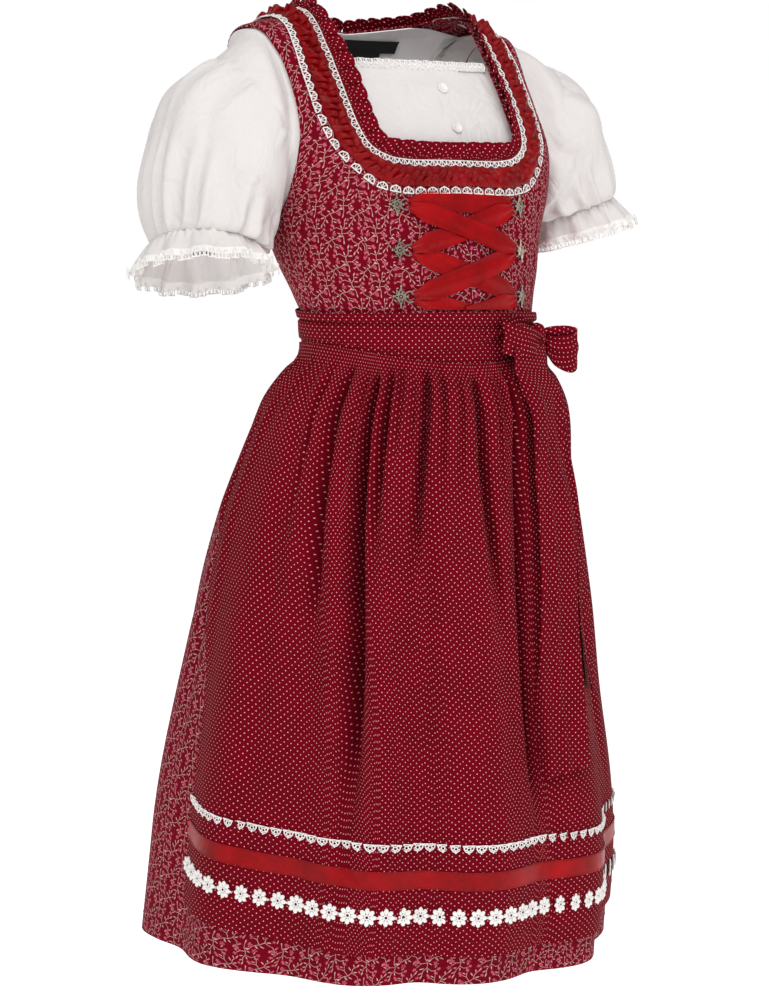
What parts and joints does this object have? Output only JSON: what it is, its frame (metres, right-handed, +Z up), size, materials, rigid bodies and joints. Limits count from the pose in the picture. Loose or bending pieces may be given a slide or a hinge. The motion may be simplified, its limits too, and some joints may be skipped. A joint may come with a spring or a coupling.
{
  "type": "dirndl",
  "caption": "Child's dirndl set in its worn shape: floral bodice and gathered skirt, white puff-sleeved blouse and dotted apron tied in a bow.",
  "frame": {"origin": "midway between the two shoulder seams, on the line where the wearer's shoulders carry the set", "axes": "+Z up along the wearer's height, +X to the wearer's left, the front faces -Y"},
  "size_m": [0.5004, 0.4027, 0.812],
  "materials": {
    "floral_cotton": "matte woven cotton printed with small blossom sprays",
    "dotted_cotton": "matte woven cotton with pin dots",
    "white_cotton": "smooth white cotton",
    "white_lace": "matte crochet lace",
    "red_satin": "glossy satin ribbon",
    "silver_metal": "antiqued silver-coloured filigree",
    "pearl_button": "pearly resin",
    "black_label": "matte woven tape"
  },
  "bodies": {
    "root": {"bodice_front_centre": "floral_cotton", "bodice_front_side_left": "floral_cotton", "bodice_front_side_right": "floral_cotton", "bodice_side_left": "floral_cotton", "bodice_side_right": "floral_cotton", "bodice_back_side_left": "floral_cotton", "bodice_back_side_right": "floral_cotton", "bodice_back_left": "floral_cotton", "bodice_back_right": "floral_cotton", "skirt_front": "floral_cotton", "skirt_back": "floral_cotton", "back_lining": "white_cotton", "blouse_front_left": "white_cotton", "blouse_front_right": "white_cotton", "blouse_back": "white_cotton", "sleeve_left": "white_cotton", "sleeve_right": "white_cotton", "sleeve_flounce_left": "white_cotton", "sleeve_flounce_right": "white_cotton", "neck_label": "black_label", "neck_ruffle": "dotted_cotton", "apron_panel": "dotted_cotton", "apron_band": "dotted_cotton", "bow_knot": "dotted_cotton", "bow_loop_front": "dotted_cotton", "bow_loop_back": "dotted_cotton", "bow_tail_1": "dotted_cotton", "bow_tail_2": "dotted_cotton", "neck_lace_inner": "white_lace", "neck_lace_outer": "white_lace", "blouse_neck_lace": "white_lace", "cuff_lace_left": "white_lace", "cuff_lace_right": "white_lace", "apron_lace_upper": "white_lace", "apron_daisy_lace": "white_lace", "neck_ruche": "red_satin", "apron_ribbon": "red_satin", "lacing_1": "red_satin", "lacing_2": "red_satin", "lacing_3": "red_satin", "lacing_4": "red_satin", "lacing_5": "red_satin", "lacing_6": "red_satin", "lacing_7": "red_satin", "hook_left_1": "silver_metal", "hook_left_2": "silver_metal", "hook_left_3": "silver_metal", "hook_right_1": "silver_metal", "hook_right_2": "silver_metal", "hook_right_3": "silver_metal", "blouse_button_1": "pearl_button", "blouse_button_2": "pearl_button"}
  },
  "joints": []
}
